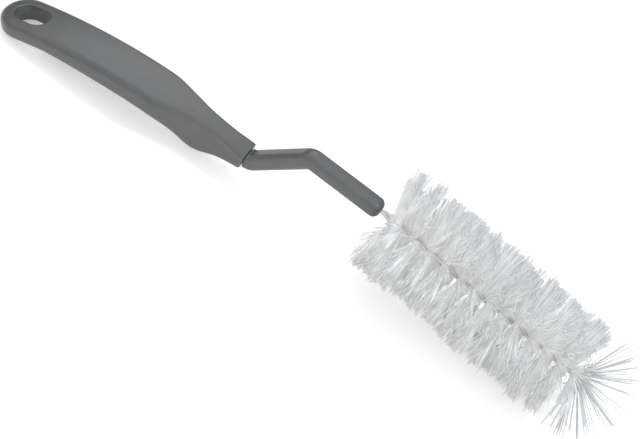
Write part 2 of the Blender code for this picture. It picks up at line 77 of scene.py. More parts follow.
# %% Helpers that select, extrude and finish
def only(item):
    """Makes one object the active and only selected one."""
    bpy.ops.object.select_all(action="DESELECT")
    bpy.context.view_layer.objects.active = item
    item.select_set(True)


def choose(test, kind="VERT"):
    """In edit mode, selects the vertices, edges or faces that pass a test, and nothing else."""
    bpy.ops.mesh.select_mode(type=kind)
    bpy.ops.mesh.select_all(action="DESELECT")
    mesh = bmesh.from_edit_mesh(bpy.context.object.data)
    elements = {"VERT": mesh.verts, "EDGE": mesh.edges, "FACE": mesh.faces}[kind]
    for element in elements:
        if test(element):
            element.select_set(True)
    mesh.select_flush_mode()
    bmesh.update_edit_mesh(bpy.context.object.data)


def extrude(move):
    """In edit mode, extrudes what is selected by a move."""
    bpy.ops.mesh.extrude_region_move(TRANSFORM_OT_translate={"value": tuple(move)})


def face_outwards():
    """Turns every face of the edited mesh outwards and leaves edit mode."""
    bpy.ops.mesh.select_all(action="SELECT")
    bpy.ops.mesh.normals_make_consistent(inside=False)
    bpy.ops.object.mode_set(mode="OBJECT")


def cut_out(item, cutter):
    """Subtracts one closed mesh from another and removes the cutter."""
    only(item)
    cut = item.modifiers.new("cut", "BOOLEAN")
    cut.operation = "DIFFERENCE"
    cut.solver = "EXACT"
    cut.object = cutter
    bpy.ops.object.modifier_apply(modifier=cut.name)
    bpy.data.objects.remove(cutter)


def lay_down(item, smooth_angle):
    """Puts a finished piece where the brush lies, keeps its place in its mesh and shades it smooth."""
    only(item)
    item.matrix_world = LAY
    bpy.ops.object.transform_apply(location=True, rotation=True, scale=True)
    bpy.ops.object.shade_smooth_by_angle(angle=smooth_angle)


def compare_with_packed(item, node):
    """Prints how far a piece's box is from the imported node's, at the worst corner."""
    low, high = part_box(node)
    points = np.array([vertex.co for vertex in item.data.vertices])
    off = max(np.abs(points.min(0) - low).max(), np.abs(points.max(0) - high).max())
    print(f"{item.name}: {len(item.data.polygons)} faces, its box is within {off / MM:.2f} mm of {node}")


# %% [markdown]
# ## The camera
#
# The photograph looks down on the brush from about 50 degrees, a little from the shank's side, with the
# camera rolled so that the brush runs from corner to corner. The values were found by matching the outline
# of the handle, the shank's elbows and the tip. They are written in the brush's own axes, so the camera
# is laid down with it.

# %% Place the camera
SENSOR_WIDTH = 36.0
FOCAL_LENGTH = 75.99
VIEW_AZIMUTH = math.radians(5.01)
VIEW_ELEVATION = math.radians(49.99)
VIEW_ROLL = math.radians(33.36)
VIEW_DISTANCE = 762.1 * MM
VIEW_CENTRE = Vector((51.62, 11.65, -18.97)) * MM
FAR_CLIP = 20.0


def view_axes(azimuth, elevation, roll):
    """The camera's right, up and back directions, as the columns of a matrix."""
    level = math.cos(elevation)
    back = Vector((level * math.sin(azimuth), -level * math.cos(azimuth), math.sin(elevation)))
    right = Vector((math.cos(azimuth), math.sin(azimuth), 0.0))
    up = back.cross(right)
    rolled_right = math.cos(roll) * right + math.sin(roll) * up
    rolled_up = math.cos(roll) * up - math.sin(roll) * right
    return Matrix((rolled_right, rolled_up, back)).transposed()


camera = bpy.data.objects.new("camera", bpy.data.cameras.new("camera"))
bpy.context.scene.collection.objects.link(camera)
axes = view_axes(VIEW_AZIMUTH, VIEW_ELEVATION, VIEW_ROLL)
view_place = Matrix.Translation(VIEW_CENTRE + axes.col[2] * VIEW_DISTANCE)
camera.matrix_world = LAY @ view_place @ axes.to_4x4()
camera.data.sensor_width = SENSOR_WIDTH
camera.data.lens = FOCAL_LENGTH
camera.data.clip_end = FAR_CLIP
bpy.context.scene.camera = camera
print("camera at", [round(value, 3) for value in camera.matrix_world.translation])

# %% [markdown]
# ## The handle's sizes
#
# The grip is an arch whose upper face is part of a large circle. Its width and depth change along it: a
# squarish neck, a thin deep throat with a belly under it, a shoulder, and a long flat grip with a round end.
# A curve that never overshoots joins the sizes measured at a few stations, so that no wave creeps in
# between them.

# %% Handle sizes at its stations
HANDLE_LENGTH = 169.0 * MM
ARCH_RADIUS = 371.0 * MM
NOSE_DOWN = math.radians(3.6)
SQUARING_LENGTH = 24.0 * MM
HANG_WIDTH = 29.7 * MM
HANG_DEPTH = 10.9 * MM
HANG_PAD_LENGTH = 36.5 * MM
NECK_DEPTH = 12.6 * MM
GRIP_WIDTH = 29.5 * MM
GRIP_DEPTH = 12.5 * MM
BELLY_AT = 30.0 * MM
SHOULDER_AT = 61.0 * MM
NECK_EDGE_RADIUS = 2.4 * MM
GRIP_EDGE_RADIUS = 3.6 * MM
UNDER_EDGE_RADIUS = 4.0 * MM
CROWN = 0.6 * MM
HOLE_FROM_END = 19.2 * MM

HOLE_AT = HANDLE_LENGTH - HOLE_FROM_END
PAD_START = HANDLE_LENGTH - HANG_PAD_LENGTH
ROUND_AT = HANDLE_LENGTH - HANG_WIDTH / 2
GRIP_AT = (SHOULDER_AT + PAD_START) / 2


def smooth_curve(stations):
    """A curve through (place, value) pairs that is level at every peak and dip."""
    places = [place for place, _ in stations]
    values = [value for _, value in stations]
    spans = [after - before for before, after in zip(places, places[1:])]
    rises = [(after - before) / span for before, after, span in zip(values, values[1:], spans)]
    slopes = [rises[0]]
    for before, after in zip(rises, rises[1:]):
        slopes.append(0.0 if before * after <= 0 else 2 * before * after / (before + after))
    slopes.append(rises[-1])

    def value_at(place):
        i = 0
        while i < len(spans) - 1 and place > places[i + 1]:
            i += 1
        t = min(max((place - places[i]) / spans[i], 0.0), 1.0)
        return ((1 + 2 * t) * (1 - t) ** 2 * values[i] + t * (1 - t) ** 2 * spans[i] * slopes[i]
                + t * t * (3 - 2 * t) * values[i + 1] + t * t * (t - 1) * spans[i] * slopes[i + 1])

    return value_at


print(f"the middle of the hanging hole is {HOLE_AT / MM:.1f} mm back from the end face")


# %% The arch, as a point and a slope at each distance back from the end face
def arch_slope(back):
    return back / ARCH_RADIUS - NOSE_DOWN


def arch_point(back):
    """The middle of the upper face."""
    x = -ARCH_RADIUS * (math.sin(arch_slope(back)) - math.sin(arch_slope(0)))
    z = ARCH_RADIUS * (math.cos(arch_slope(back)) - math.cos(arch_slope(0)))
    return Vector((x, 0, NECK_DEPTH / 2 + z))


def section_slope(back):
    """How far the cross section leans there: it is square to the shank at the end face."""
    share = min(back / SQUARING_LENGTH, 1.0)
    return arch_slope(back) * share * share * (3 - 2 * share)


def section_up(back):
    slope = section_slope(back)
    return Vector((-math.sin(slope), 0, math.cos(slope)))


def pad_depth(back):
    """The depth that brings the underside to the flat pad round the hanging hole."""
    flat_up = section_up(HOLE_AT)
    flat_point = arch_point(HOLE_AT) - flat_up * HANG_DEPTH
    return (arch_point(back) - flat_point).dot(flat_up) / section_up(back).dot(flat_up)


# %% Width, depth and edge radius along the handle
FRONT_STATIONS = (  # how far back, half the width and the depth there
    (0.0, 7.25 * MM, NECK_DEPTH),
    (14.0 * MM, 6.35 * MM, 17.8 * MM),  # the throat
    (BELLY_AT, 7.4 * MM, 24.0 * MM),
    (45.0 * MM, 10.8 * MM, 17.9 * MM),  # where the shoulder starts
    (SHOULDER_AT, 14.35 * MM, 13.7 * MM),
)

half_width_at = smooth_curve([(back, half) for back, half, _ in FRONT_STATIONS]
                             + [(GRIP_AT, GRIP_WIDTH / 2), (ROUND_AT, HANG_WIDTH / 2)])
front_depth_at = smooth_curve([(back, depth) for back, _, depth in FRONT_STATIONS]
                              + [(GRIP_AT, GRIP_DEPTH), (PAD_START, pad_depth(PAD_START))])
top_radius_at = smooth_curve(((0.0, NECK_EDGE_RADIUS), (BELLY_AT, NECK_EDGE_RADIUS),
                              (SHOULDER_AT, GRIP_EDGE_RADIUS)))


def depth_at(back):
    return pad_depth(back) if back >= PAD_START else front_depth_at(back)


print(f"the arch drops {(arch_point(0).z - arch_point(HANDLE_LENGTH).z) / MM:.1f} mm to the hang end")

# %% [markdown]
# ## The handle's body
#
# A moulded grip could be cut from a block, or swept along a rail. Pulling each cross section out of the one
# before is closest to how its mould is drawn, and it gives even quads all along. The end face is a plane
# with four rounded corners. Each step extrudes it and sets it to the next section by one rule: the flats
# stretch, the corners keep their radius. A subdivision surface then rounds what lies between the sections.

# %% Start from the end face of the neck
CORNER_SEGMENTS = 5
START_RADIUS = NECK_EDGE_RADIUS
FACE_CUTS = 3  # extra points along the upper and lower side of a section, one of them on its middle line

bpy.ops.object.select_all(action="DESELECT")
bpy.ops.mesh.primitive_plane_add(size=1.0, rotation=(0, -math.pi / 2, 0))
handle = bpy.context.object
handle.name = "grip_handle"
handle.scale = (NECK_DEPTH, 2 * half_width_at(0), 1.0)
bpy.ops.object.transform_apply(location=True, rotation=True, scale=True)
bpy.ops.object.mode_set(mode="EDIT")
bpy.ops.mesh.select_all(action="SELECT")
bpy.ops.mesh.bevel(offset=START_RADIUS, segments=CORNER_SEGMENTS, affect="VERTICES")
choose(lambda edge: all(abs(corner.co.z) > NECK_DEPTH / 2 - TOUCH for corner in edge.verts), "EDGE")
bpy.ops.mesh.subdivide(number_cuts=FACE_CUTS)
print("the end face has", len(bmesh.from_edit_mesh(handle.data).verts), "points")


# %% The rule that takes a point of the first face to any other section
TOP_OF_ROUND = 0.99  # a point further round its upper corner than this lies on the upper side


def split_flat_and_round(value, flat_half):
    """How far along its flat a point lies, from -1 to 1, and how far round its corner."""
    flat = min(max(value / flat_half, -1.0), 1.0)
    return flat, (value - flat * flat_half) / START_RADIUS


def section_point(start, back, shrink=0.0):
    """Where a point of the first face goes on the section that far back. Only the upper side is crowned."""
    flat_y, round_y = split_flat_and_round(start.y, half_width_at(0) - START_RADIUS)
    flat_z, round_z = split_flat_and_round(start.z, NECK_DEPTH / 2 - START_RADIUS)
    depth = depth_at(back)
    radius = (top_radius_at(back) if start.z > 0 else UNDER_EDGE_RADIUS) - shrink
    flat_half = half_width_at(back) - shrink - radius
    across = flat_y * flat_half + round_y * radius
    height = flat_z * (depth / 2 - shrink - radius) + round_z * radius - depth / 2
    if round_z > TOP_OF_ROUND:
        height += CROWN * flat_half / (GRIP_WIDTH / 2) * (1 - flat_y ** 2)
    return arch_point(back) + Vector((0, across, 0)) + section_up(back) * height


# %% Pull the sections out one by one
STATION_STEP = 3.5 * MM
END_CHAMFER = 0.5 * MM

mesh = bmesh.from_edit_mesh(handle.data)
start_points = [vertex.co.copy() for vertex in mesh.verts]
for vertex, start in zip(mesh.verts, start_points):
    vertex.co = section_point(start, 0.0, END_CHAMFER)
stations = [END_CHAMFER, 3 * END_CHAMFER]
for end in (PAD_START, ROUND_AT):
    first = stations[-1]
    count = round((end - first) / STATION_STEP)
    stations += [first + (end - first) * (i + 1) / count for i in range(count)]
bpy.ops.mesh.select_mode(type="VERT")
bpy.ops.mesh.select_all(action="SELECT")
for back in stations:
    bpy.ops.mesh.extrude_region_move()
    mesh = bmesh.from_edit_mesh(handle.data)
    mesh.verts.ensure_lookup_table()
    ring = mesh.verts[-len(start_points):]
    for vertex, start in zip(ring, start_points):
        vertex.co = section_point(start, back)
    bmesh.update_edit_mesh(handle.data)
print(f"{len(stations)} sections pulled to {stations[-1] / MM:.1f} mm back")

# %% [markdown]
# ## The round hang end
#
# The end could be capped with ever shorter sections, but they would crowd together at its tip. Spinning
# half of the last section through half a turn keeps the rings even. The points are then set down on the
# arch, because the spin alone would leave the end straight. The spin's pole falls inside the hanging hole.

# %% Spin half of the last section round the end
ROUND_STEPS = 18

round_centre = arch_point(ROUND_AT)
round_up = section_up(ROUND_AT)
round_back = Vector((-round_up.z, 0, round_up.x))


def on_last_section(vertex):
    """Whether a point lies on the section that the spin starts from."""
    return abs((vertex.co - round_centre).dot(round_back)) < TOUCH


choose(lambda face: all(on_last_section(corner) for corner in face.verts), "FACE")
bpy.ops.mesh.delete(type="FACE")
choose(lambda edge: all(on_last_section(end) and end.co.y < TOUCH for end in edge.verts), "EDGE")
bpy.ops.mesh.spin(steps=ROUND_STEPS, angle=math.pi, center=round_centre, axis=round_up)
mesh = bmesh.from_edit_mesh(handle.data)
for vertex in mesh.verts:
    reach = (vertex.co - round_centre).dot(round_back)
    if reach > TOUCH:
        back = ROUND_AT + reach
        height = (vertex.co - round_centre).dot(round_up) * depth_at(back) / depth_at(ROUND_AT)
        vertex.co = arch_point(back) + Vector((0, vertex.co.y, 0)) + section_up(back) * height
bpy.ops.mesh.select_all(action="SELECT")
bpy.ops.mesh.remove_doubles(threshold=TOUCH)
bpy.ops.mesh.normals_make_consistent(inside=False)
choose(lambda face: face.calc_center_median().x > -TOUCH, "FACE")
bpy.ops.mesh.inset(thickness=END_CHAMFER)
bpy.ops.object.mode_set(mode="OBJECT")
print(f"the handle's cage has {len(handle.data.polygons)} faces")

# %% Round the cage
ROUNDING_LEVELS = 2

only(handle)
rounding = handle.modifiers.new("rounding", "SUBSURF")
rounding.levels = ROUNDING_LEVELS
rounding.render_levels = ROUNDING_LEVELS
bpy.ops.object.modifier_apply(modifier=rounding.name)
print(f"rounded, the handle has {len(handle.data.polygons)} faces")

# %% [markdown]
# ## The hanging hole
#
# The hole is cut by a slot-shaped spool whose ends flare by a quarter circle, which leaves the soft rims.
# The spool grows from one rounded slot, inset a little further at each step down, so that the rim keeps the
# same radius all round. Its upper flare is laid on the arched face before the cut.

# %% Model the spool that will cut the hole
HOLE_LENGTH = 21.6 * MM
HOLE_WIDTH = 14.3 * MM
RIM_RADIUS = 1.2 * MM
RIM_OVERRUN = 0.05 * MM  # how far the rims' curve runs past the faces, for a clean cut
RIM_STEPS = 8
RIM_STEP = math.radians(90) / RIM_STEPS
SLOT_SEGMENTS = 20


def rounded_plate(length, width, radius, segments):
    """A flat plate with rounded corners in the XY plane, left in edit mode with everything selected."""
    bpy.ops.object.select_all(action="DESELECT")
    bpy.ops.mesh.primitive_plane_add(size=1.0)
    plate = bpy.context.object
    plate.scale = (length, width, 1.0)
    bpy.ops.object.transform_apply(location=False, rotation=False, scale=True)
    bpy.ops.object.mode_set(mode="EDIT")
    bpy.ops.mesh.select_all(action="SELECT")
    bpy.ops.mesh.bevel(offset=radius, segments=segments, affect="VERTICES")
    bpy.ops.mesh.select_all(action="SELECT")
    bpy.ops.mesh.remove_doubles(threshold=TOUCH)
    bpy.ops.mesh.select_all(action="SELECT")
    return plate


def face_height(along, across):
    """How far the arched and crowned upper face stands above the plane that touches it at the hole."""
    flat_half = HANG_WIDTH / 2 - top_radius_at(HOLE_AT)
    share = min(abs(across) / flat_half, 1.0)
    return CROWN * flat_half / (GRIP_WIDTH / 2) * (1 - share ** 2) - along ** 2 / (2 * ARCH_RADIUS)


flare = 2 * RIM_RADIUS  # how much wider the spool starts, all round
spool = rounded_plate(HOLE_LENGTH + 2 * flare, HOLE_WIDTH + 2 * flare, HOLE_WIDTH / 2 + flare, SLOT_SEGMENTS)
extrude((0, 0, -RIM_RADIUS / 2))
bpy.ops.mesh.inset(thickness=RIM_RADIUS, depth=-RIM_RADIUS / 2)
for i in range(RIM_STEPS):
    inwards = RIM_RADIUS * (math.sin((i + 1) * RIM_STEP) - math.sin(i * RIM_STEP))
    downwards = RIM_RADIUS * (math.cos(i * RIM_STEP) - math.cos((i + 1) * RIM_STEP))
    bpy.ops.mesh.inset(thickness=inwards, depth=-downwards)
straight = HANG_DEPTH / 2 + RIM_OVERRUN - RIM_RADIUS
extrude((0, 0, -straight))
bpy.ops.mesh.delete(type="FACE")
bpy.ops.mesh.select_all(action="SELECT")
bpy.ops.mesh.duplicate()
middle = -RIM_RADIUS - RIM_OVERRUN - HANG_DEPTH / 2
bpy.ops.transform.rotate(value=math.pi, orient_axis="X", center_override=(0, 0, middle))
bpy.ops.mesh.select_all(action="SELECT")
bpy.ops.mesh.remove_doubles(threshold=TOUCH)
face_outwards()
for vertex in spool.data.vertices:
    height = vertex.co.z + RIM_RADIUS + RIM_OVERRUN
    share = min(max((height + HANG_DEPTH / 2) / (HANG_DEPTH / 2 - RIM_RADIUS), 0.0), 1.0)
    vertex.co.z = height + share * face_height(vertex.co.x, vertex.co.y)
spool.matrix_world = (Matrix.Translation(arch_point(HOLE_AT))
                      @ Matrix.Rotation(-section_slope(HOLE_AT), 4, "Y"))
print(f"the spool has {len(spool.data.polygons)} faces")

# %% Cut the hole and the socket for the shank's plug
PLUG_SIDE = 8.2 * MM
PLUG_EDGE_RADIUS = 2.73 * MM
PLUG_DEPTH = 24.0 * MM
FIT_GAP = 0.3 * MM
SQUARE_SEGMENTS = 8

cut_out(handle, spool)
socket_side = PLUG_SIDE + 2 * FIT_GAP
socket = rounded_plate(socket_side, socket_side, PLUG_EDGE_RADIUS + FIT_GAP, SQUARE_SEGMENTS)
extrude((0, 0, PLUG_DEPTH + 2 * FIT_GAP))
face_outwards()
socket.matrix_world = Matrix.Translation((FIT_GAP, 0, 0)) @ Matrix.Rotation(-math.pi / 2, 4, "Y")
cut_out(handle, socket)
lay_down(handle, MOULDING_EDGE)
compare_with_packed(handle, "handle")

# %% [markdown]
# ## The shank
#
# A cranked square bar: a plug inside the handle, a slightly thicker root, two elbows and a rounded nose. It
# grows from the plug's end. Straight runs are extrusions, the elbows are extrusions turned a little each
# time about the bend's centre, and the nose is a few extrusions made smaller along a quarter circle.

# %% Shank sizes
SHANK_SIDE = 9.6 * MM
SHANK_ROOT_SIDE = 10.9 * MM
SHANK_ROOT_TAPER = 8.6 * MM  # the run over which the root comes down to the bar's size
PLUG_CHAMFER = 0.8 * MM
SHADOW_GAP = 0.7 * MM  # between the handle's end face and the root
ROOT_STRAIGHT = 0.1 * MM
CRANK_RUN = 27.9 * MM
CRANK_RISE = 31.1 * MM
CRANK_ANGLE = math.atan2(CRANK_RISE, CRANK_RUN)
ELBOW_RADIUS = 5.6 * MM
ELBOW_TANGENT = ELBOW_RADIUS * math.tan(CRANK_ANGLE / 2)
ELBOW_STEPS = 14
NOSE_LENGTH = 46.3 * MM
NOSE_ROUND = 3.9 * MM
NOSE_STEPS = 10
NOSE_STEP = math.radians(90) / NOSE_STEPS

first_elbow = Vector((SHADOW_GAP + ROOT_STRAIGHT + ELBOW_TANGENT, 0, 0))
second_elbow = first_elbow + Vector((CRANK_RUN, 0, CRANK_RISE))
nose_end = second_elbow + Vector((NOSE_LENGTH, 0, 0))
print(f"the crank rises at {math.degrees(CRANK_ANGLE):.1f} degrees")


# %% Steps that pull the bar on
def end_middle():
    """The middle of the selected end face."""
    mesh = bmesh.from_edit_mesh(bpy.context.object.data)
    chosen = [vertex.co for vertex in mesh.verts if vertex.select]
    return sum(chosen, Vector()) / len(chosen)


def pull(move, growth=1.0):
    """Extrudes the end face by a move, then sizes the new face about its own middle."""
    extrude(move)
    bpy.ops.transform.resize(value=(growth, growth, growth), center_override=tuple(end_middle()))


def turn_end_face(turn):
    """Turns the selected end face about its own middle."""
    mesh = bmesh.from_edit_mesh(bpy.context.object.data)
    middle = end_middle()
    for vertex in mesh.verts:
        if vertex.select:
            vertex.co = middle + turn @ (vertex.co - middle)
    bmesh.update_edit_mesh(bpy.context.object.data)


def pull_round(centre, angle, steps, size_at):
    """Takes the end face round a bend in the XZ plane, sized by how far it has travelled."""
    size = size_at(0.0)
    for i in range(steps):
        start = end_middle()
        turn = Matrix.Rotation(-angle / steps, 3, "Y")
        wanted = size_at(abs(angle) * ELBOW_RADIUS * (i + 1) / steps)
        pull(centre + turn @ (start - centre) - start, wanted / size)
        turn_end_face(turn)
        size = wanted


# %% Pull the shank out of its plug
shank = rounded_plate(PLUG_SIDE, PLUG_SIDE, PLUG_EDGE_RADIUS, SQUARE_SEGMENTS)
shank.name = "cranked_shank"
bpy.ops.transform.rotate(value=math.pi / 2, orient_axis="Y", center_override=(0, 0, 0))
bpy.ops.transform.translate(value=(-PLUG_DEPTH, 0, 0))
chamfered = (PLUG_SIDE - 2 * PLUG_CHAMFER) / PLUG_SIDE
bpy.ops.transform.resize(value=(1, chamfered, chamfered), center_override=(-PLUG_DEPTH, 0, 0))
pull((PLUG_CHAMFER, 0, 0), 1 / chamfered)
pull((PLUG_DEPTH + SHADOW_GAP - PLUG_CHAMFER, 0, 0))
pull((0, 0, 0), SHANK_ROOT_SIDE / PLUG_SIDE)
pull((ROOT_STRAIGHT, 0, 0))


def root_side(travelled):
    """The bar's side in the first elbow, where the thicker root tapers off."""
    share = min(travelled / SHANK_ROOT_TAPER, 1.0)
    return SHANK_ROOT_SIDE + (SHANK_SIDE - SHANK_ROOT_SIDE) * share


bend_start = end_middle()
pull_round(bend_start + Vector((0, 0, ELBOW_RADIUS)), CRANK_ANGLE, ELBOW_STEPS, root_side)
along = (second_elbow - first_elbow).normalized()
pull(second_elbow - along * ELBOW_TANGENT - end_middle())
bend_centre = end_middle() + Vector((along.z, 0, -along.x)) * ELBOW_RADIUS
pull_round(bend_centre, -CRANK_ANGLE, ELBOW_STEPS, lambda travelled: SHANK_SIDE)
pull(nose_end - Vector((NOSE_ROUND, 0, 0)) - end_middle())
side = SHANK_SIDE
for i in range(NOSE_STEPS):
    angle = (i + 1) * NOSE_STEP
    forward = nose_end.x - NOSE_ROUND * (1 - math.sin(angle)) - end_middle().x
    wanted = SHANK_SIDE - 2 * NOSE_ROUND * (1 - math.cos(angle))
    pull((forward, 0, 0), wanted / side)
    side = wanted
face_outwards()
print(f"the shank has {len(shank.data.polygons)} faces")

# %% Bore the nose for the wire
BORE_RADIUS = 2.15 * MM
BORE_SIDES = 48
HELD_LENGTH = 18.0 * MM  # of the wire, inside the nose

bpy.ops.object.select_all(action="DESELECT")
bpy.ops.mesh.primitive_cylinder_add(vertices=BORE_SIDES, radius=BORE_RADIUS,
                                    depth=2 * (HELD_LENGTH + FIT_GAP), location=nose_end,
                                    rotation=(0, math.pi / 2, 0))
cut_out(shank, bpy.context.object)
lay_down(shank, MOULDING_EDGE)
compare_with_packed(shank, "shank")

# %% [markdown]
# ## The twisted wire
#
# One wire is folded in half and twisted. A curve with a round bevel follows its two legs: they touch in the
# bare part, stand apart where filaments lie between them, and meet in the fold at the tip. Between the nose
# and the head the axis bends down a little, as on the real brush.

# %% The wire's axis and its twist
WIRE_RADIUS = 0.98 * MM
TURN_LENGTH = 19.4 * MM
BARE_LENGTH = 7.0 * MM
BARE_SPREAD = 1.0 * MM  # from the axis to the middle of a leg, in the bare part
HEAD_SPREAD = 1.4 * MM  # and where filaments lie between the legs
OPENING_LENGTH = 2.0 * MM  # over which the legs part to let the first filaments in
WIRE_DROOP = math.radians(4.3)
BAND_COUNT = 13
BAND_LENGTH = TURN_LENGTH / 2
FOLD_AT = BARE_LENGTH + BAND_COUNT * BAND_LENGTH + FIT_GAP
BEND_RADIUS = BARE_LENGTH / WIRE_DROOP

SIDEWAYS = Vector((0, 1, 0))
FORWARD = Vector((math.cos(WIRE_DROOP), 0, -math.sin(WIRE_DROOP)))
UPWARDS = Vector((math.sin(WIRE_DROOP), 0, math.cos(WIRE_DROOP)))


def axis_point(along):
    """A point on the wire's axis, a distance along it from the nose."""
    angle = min(max(along, 0.0), BARE_LENGTH) / BEND_RADIUS
    arc = Vector((BEND_RADIUS * math.sin(angle), 0, -BEND_RADIUS * (1 - math.cos(angle))))
    straight = along - min(max(along, 0.0), BARE_LENGTH)
    return nose_end + arc + Vector((math.cos(angle), 0, -math.sin(angle))) * straight


def twist_at(along):
    return 2 * math.pi * (along - BARE_LENGTH) / TURN_LENGTH


def around(angle):
    """A direction square to the head's axis."""
    return SIDEWAYS * math.cos(angle) + UPWARDS * math.sin(angle)


def leg_point(along, side):
    """A point on the middle line of one of the two legs, whose side is 1 or -1."""
    share = min(max((along - BARE_LENGTH + OPENING_LENGTH) / OPENING_LENGTH, 0.0), 1.0)
    spread = BARE_SPREAD + (HEAD_SPREAD - BARE_SPREAD) * share
    return axis_point(along) + around(twist_at(along) + math.pi / 2) * spread * side


print(f"the wire folds {FOLD_AT / MM:.1f} mm in front of the nose")


# %% Bend the wire, fold and all
WIRE_STEP = 0.6 * MM
FOLD_STEPS = 12
WIRE_ROUNDNESS = 4

leg_count = round((HELD_LENGTH + FOLD_AT) / WIRE_STEP)
places = [-HELD_LENGTH + (HELD_LENGTH + FOLD_AT) * i / leg_count for i in range(leg_count + 1)]
path = [leg_point(along, 1) for along in places]
fold_side = around(twist_at(FOLD_AT) + math.pi / 2)
for i in range(1, FOLD_STEPS):
    angle = math.pi * i / FOLD_STEPS
    path.append(axis_point(FOLD_AT) + (fold_side * math.cos(angle) + FORWARD * math.sin(angle)) * HEAD_SPREAD)
path += [leg_point(along, -1) for along in reversed(places)]
curve = bpy.data.curves.new("twisted_wire", "CURVE")
curve.dimensions = "3D"
curve.bevel_depth = WIRE_RADIUS
curve.bevel_resolution = WIRE_ROUNDNESS
curve.use_fill_caps = True
spline = curve.splines.new("POLY")
spline.points.add(len(path) - 1)
for place, point in zip(spline.points, path):
    place.co = (*point, 1.0)
wire = bpy.data.objects.new("twisted_wire", curve)
bpy.context.scene.collection.objects.link(wire)
only(wire)
bpy.ops.object.convert(target="MESH")
wire = bpy.context.object
lay_down(wire, THREAD_EDGE)
compare_with_packed(wire, "wire_core")

# %% [markdown]
# ## The filaments
#
# On the real brush some thousands of nylon filaments are laid side by side between the wire's legs, and the
# twist turns them into a spiral. Each one crosses the axis and shows on both sides. They could be a particle
# system, but then they would be no real mesh. So one filament is modelled, straight and three-sided, and
# every other one is a copy of it, set along its own path. The layer between the legs is a few filaments
# thick. Its outer ones splay forwards and backwards, which fills the space up to the next turn. Neighbours
# share a little of their depth in the layer, lean, turn and length, because filaments cling together in
# bunches, clumps and tufts, and a few strays lie across the others.

# %% Model one filament
FILAMENT_RADIUS = 0.26 * MM
FILAMENT_SIDES = 3
FILAMENT_STATIONS = (0.0, 0.1, 0.35, 0.65, 0.9, 1.0)  # shares of the way from the axis to the tip

stations = [-share for share in reversed(FILAMENT_STATIONS[1:])] + list(FILAMENT_STATIONS)
bpy.ops.object.select_all(action="DESELECT")
bpy.ops.mesh.primitive_circle_add(vertices=FILAMENT_SIDES, radius=1.0, fill_type="NGON",
                                  location=(0, 0, stations[0]))
pattern = bpy.context.object
bpy.ops.object.transform_apply(location=True, rotation=False, scale=False)
bpy.ops.object.mode_set(mode="EDIT")
bpy.ops.mesh.select_all(action="SELECT")
for before, after in zip(stations, stations[1:]):
    extrude((0, 0, after - before))
face_outwards()
pattern_points = np.array([vertex.co for vertex in pattern.data.vertices])
pattern_faces = [list(face.vertices) for face in pattern.data.polygons]
bpy.data.objects.remove(pattern)
print(f"one filament has {len(pattern_faces)} faces at {len(stations)} stations")


# %% Copies of the filament, bent along paths
NO_FILAMENT_WAY = np.array(FORWARD) + 0.01  # a direction that no filament runs in


def bent_filaments(name, paths, radius, shades, rng):
    """One mesh of filaments. paths is (count, stations, 3), in the brush's axes."""
    count, corners = len(paths), len(pattern_points)
    level = np.rint(np.interp(pattern_points[:, 2], stations, np.arange(len(stations)))).astype(int)
    tangents = np.gradient(paths, axis=1)
    tangents /= np.linalg.norm(tangents, axis=2, keepdims=True)
    aside = np.cross(tangents, NO_FILAMENT_WAY)
    aside /= np.linalg.norm(aside, axis=2, keepdims=True)
    other = np.cross(tangents, aside)
    roll = rng.uniform(0, 2 * np.pi, count)[:, None]
    across = np.cos(roll) * pattern_points[:, 0] - np.sin(roll) * pattern_points[:, 1]
    upright = np.sin(roll) * pattern_points[:, 0] + np.cos(roll) * pattern_points[:, 1]
    points = paths[:, level] + radius * (across[..., None] * aside[:, level]
                                         + upright[..., None] * other[:, level])
    faces = [[corner + i * corners for corner in face] for i in range(count) for face in pattern_faces]
    mesh = bpy.data.meshes.new(name)
    mesh.from_pydata(points.reshape(-1, 3).tolist(), [], faces)
    reach = np.tile(np.abs(pattern_points[:, 2]), count)
    shade = np.repeat(shades, corners)
    for label, values in (("reach", reach), ("shade", shade)):
        attribute = mesh.attributes.new(label, "FLOAT", "POINT")
        attribute.data.foreach_set("value", values.astype(np.float32))
    item = bpy.data.objects.new(name, mesh)
    bpy.context.scene.collection.objects.link(item)
    return item


def keep_above_floor(paths, least):
    """Presses the points that would pass the floor back up to it."""
    turn, place = np.array(LAY.to_3x3()), np.array(LAY.translation)
    world = paths @ turn.T + place
    world[..., 2] = np.maximum(world[..., 2], least)
    return (world - place) @ np.array(LAY.inverted().to_3x3()).T


# %% How neighbours share their lean, turn and length
BRISTLE_RADIUS = 31.0 * MM
TRIMMED_OFF = 0.8 * MM  # what a filament of mean length lacks of the full radius
FILAMENTS_PER_BAND = 380
SLAB_HALF = 0.32 * MM  # half the thickness of the layer of filaments between the legs
FIRST_LEAN = math.radians(-9.0)
LAST_LEAN = math.radians(3.0)
LEAN_FADE = 3  # how fast the lean fades from either end of the head
SPLAY_LEAN = math.radians(8.8)  # of the layer's outermost filaments
SPLAY_TURN = math.radians(5.0)
HEAD_LENGTH = BAND_COUNT * BAND_LENGTH
CLUMP_LENGTH = 0.8 * MM  # of the wire
SPREADS = (  # of tufts, clumps and single filaments: length, lean, turn, spare length and bend at the tip
    (3.2 * MM, math.radians(2.8), math.radians(2.0), 0.75 * MM, 0.2 * MM),
    (CLUMP_LENGTH, math.radians(1.8), math.radians(1.0), 0.75 * MM, 0.1 * MM),
    (0.0, math.radians(0.6), math.radians(0.8), 1.0 * MM, 0.1 * MM),
)
BUNCH_LENGTH = 0.5 * MM  # of the wire, along which filaments share a part of their depth in the layer
BUNCH_SHARE = 0.5
STRAY_SHARE = 0.04  # of the filaments, which lie across the others
STRAY_LEAN = math.radians(14.0)
LEAST_SHADE = 0.72
CLUMP_SHADE = 0.22  # how much lighter the lightest clump is
OWN_SHADE = 0.06  # how much lighter one filament of a clump can be than another

